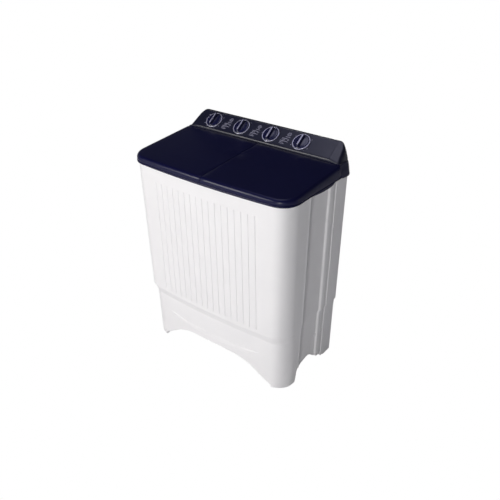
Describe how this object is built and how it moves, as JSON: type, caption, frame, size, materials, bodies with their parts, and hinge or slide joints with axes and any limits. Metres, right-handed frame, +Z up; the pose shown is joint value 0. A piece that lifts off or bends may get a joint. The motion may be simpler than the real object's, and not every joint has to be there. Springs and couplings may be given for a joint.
{
  "type": "twin tub washer",
  "caption": "Free-standing twin tub washer: white ribbed cabinet on an arched plinth, dark top with two hinged lids and a sloped console of rotary knobs.",
  "frame": {"origin": "on the floor, under the middle of the machine's overall box", "axes": "+Z up, +Y to the rear, +X to the right seen from the front"},
  "size_m": [0.7882, 0.4551, 0.9945],
  "materials": {
    "white_shell": "satin moulded polypropylene",
    "navy_gloss": "glossy moulded ABS",
    "navy_knob": "glossy moulded ABS",
    "silver_trim": "satin plated plastic",
    "tub_plastic": "smooth moulded polypropylene",
    "pulsator_blue": "smooth moulded polypropylene",
    "natural_plastic": "natural polypropylene",
    "grey_plastic": "moulded nylon",
    "steel": "zinc plated",
    "motor_paint": "satin black",
    "rubber": "matte"
  },
  "bodies": {
    "frame": {"cabinet": "white_shell", "base_plinth": "white_shell", "rear_panel": "white_shell", "top_deck": "navy_gloss", "wash_lid_hinge_rod": "steel", "spin_lid_hinge_rod": "steel", "console_housing": "navy_gloss", "console_fascia": "navy_gloss", "console_rear_cover": "navy_gloss", "wash_timer_bezel": "silver_trim", "wash_timer": "grey_plastic", "wash_selector_bezel": "silver_trim", "wash_selector_switch": "grey_plastic", "drain_selector_bezel": "silver_trim", "spin_timer_bezel": "silver_trim", "spin_timer": "grey_plastic", "wash_tub": "tub_plastic", "filter_channel_cover": "tub_plastic", "lint_filter": "pulsator_blue", "pulsator_bearing_housing": "grey_plastic", "drive_belt": "rubber", "wash_motor": "motor_paint", "motor_bracket": "steel", "spin_outer_tub": "tub_plastic", "spin_motor": "motor_paint", "spin_motor_platform": "steel", "brake_wire": "steel", "spin_motor_spring_1": "steel", "spin_motor_spring_2": "steel", "spin_motor_spring_3": "steel", "spin_bellows": "rubber", "spin_bearing": "steel", "drain_valve_box": "natural_plastic", "drain_pipe": "grey_plastic", "water_inlet": "natural_plastic", "power_cord_gland": "rubber", "foot_front_left": "rubber", "foot_front_right": "rubber", "foot_rear_left": "rubber", "foot_rear_right": "rubber"},
    "wash_lid": {"wash_lid": "navy_gloss"},
    "spin_lid": {"spin_lid": "navy_gloss"},
    "wash_timer_knob": {"wash_timer_knob": "navy_knob", "wash_timer_knob_insert": "silver_trim"},
    "wash_selector_knob": {"wash_selector_knob": "navy_knob", "wash_selector_knob_insert": "silver_trim"},
    "drain_selector_knob": {"drain_selector_knob": "navy_knob", "drain_selector_knob_insert": "silver_trim", "drain_selector_cam": "grey_plastic"},
    "spin_timer_knob": {"spin_timer_knob": "navy_knob", "spin_timer_knob_insert": "silver_trim"},
    "pulsator_drive": {"pulsator": "pulsator_blue", "pulsator_shaft": "steel", "drive_pulley": "motor_paint"},
    "motor_pulley": {"motor_pulley": "steel"},
    "spin_drive": {"spin_basket": "natural_plastic", "spin_shaft": "steel", "brake_drum": "steel"},
    "brake_lever": {"brake_lever": "steel"},
    "drain_valve": {"drain_valve_rod": "natural_plastic"}
  },
  "joints": [
    {"name": "wash_lid_hinge", "type": "hinge", "parent": "frame", "child": "wash_lid", "pos_m": [-0.194, 0.115, 0.9155], "axis": [-1, 0, 0], "range_deg": [0, 95]},
    {"name": "spin_lid_hinge", "type": "hinge", "parent": "frame", "child": "spin_lid", "pos_m": [0.194, 0.115, 0.9155], "axis": [-1, 0, 0], "range_deg": [0, 95]},
    {"name": "wash_timer_turn", "type": "hinge", "parent": "frame", "child": "wash_timer_knob", "pos_m": [-0.267, 0.1781, 0.962], "axis": [0, 0.5736, -0.8192], "range_deg": [0, 300]},
    {"name": "wash_selector_turn", "type": "hinge", "parent": "frame", "child": "wash_selector_knob", "pos_m": [-0.117, 0.1781, 0.962], "axis": [0, 0.5736, -0.8192], "range_deg": [-45, 45]},
    {"name": "drain_selector_turn", "type": "hinge", "parent": "frame", "child": "drain_selector_knob", "pos_m": [0.034, 0.1781, 0.962], "axis": [0, 0.5736, -0.8192], "range_deg": [0, 90]},
    {"name": "spin_timer_turn", "type": "hinge", "parent": "frame", "child": "spin_timer_knob", "pos_m": [0.183, 0.1781, 0.962], "axis": [0, 0.5736, -0.8192], "range_deg": [0, 300]},
    {"name": "pulsator_spin", "type": "hinge", "parent": "frame", "child": "pulsator_drive", "pos_m": [-0.186, -0.034, 0.3], "axis": [0, 0, 1], "continuous": true},
    {"name": "motor_pulley_spin", "type": "hinge", "parent": "frame", "child": "motor_pulley", "pos_m": [-0.036, 0.04, 0.3], "axis": [0, 0, 1], "continuous": true},
    {"name": "spin_basket_spin", "type": "hinge", "parent": "frame", "child": "spin_drive", "pos_m": [0.191, -0.03, 0.4], "axis": [0, 0, 1], "continuous": true},
    {"name": "brake_lever_pull", "type": "hinge", "parent": "frame", "child": "brake_lever", "pos_m": [0.266, 0.045, 0.36], "axis": [0, 0, -1], "range_deg": [0, 4]},
    {"name": "drain_valve_lift", "type": "slide", "parent": "frame", "child": "drain_valve", "axis": [0, 0, 1], "range_m": [0, 0.0119]}
  ],
  "couplings": [
    {"joint": "motor_pulley_spin", "follows": "pulsator_spin", "ratio": 4},
    {"joint": "brake_lever_pull", "follows": "spin_lid_hinge", "ratio": 0.042105},
    {"joint": "drain_selector_turn", "follows": "drain_valve_lift", "rad_per_m": 132}
  ]
}
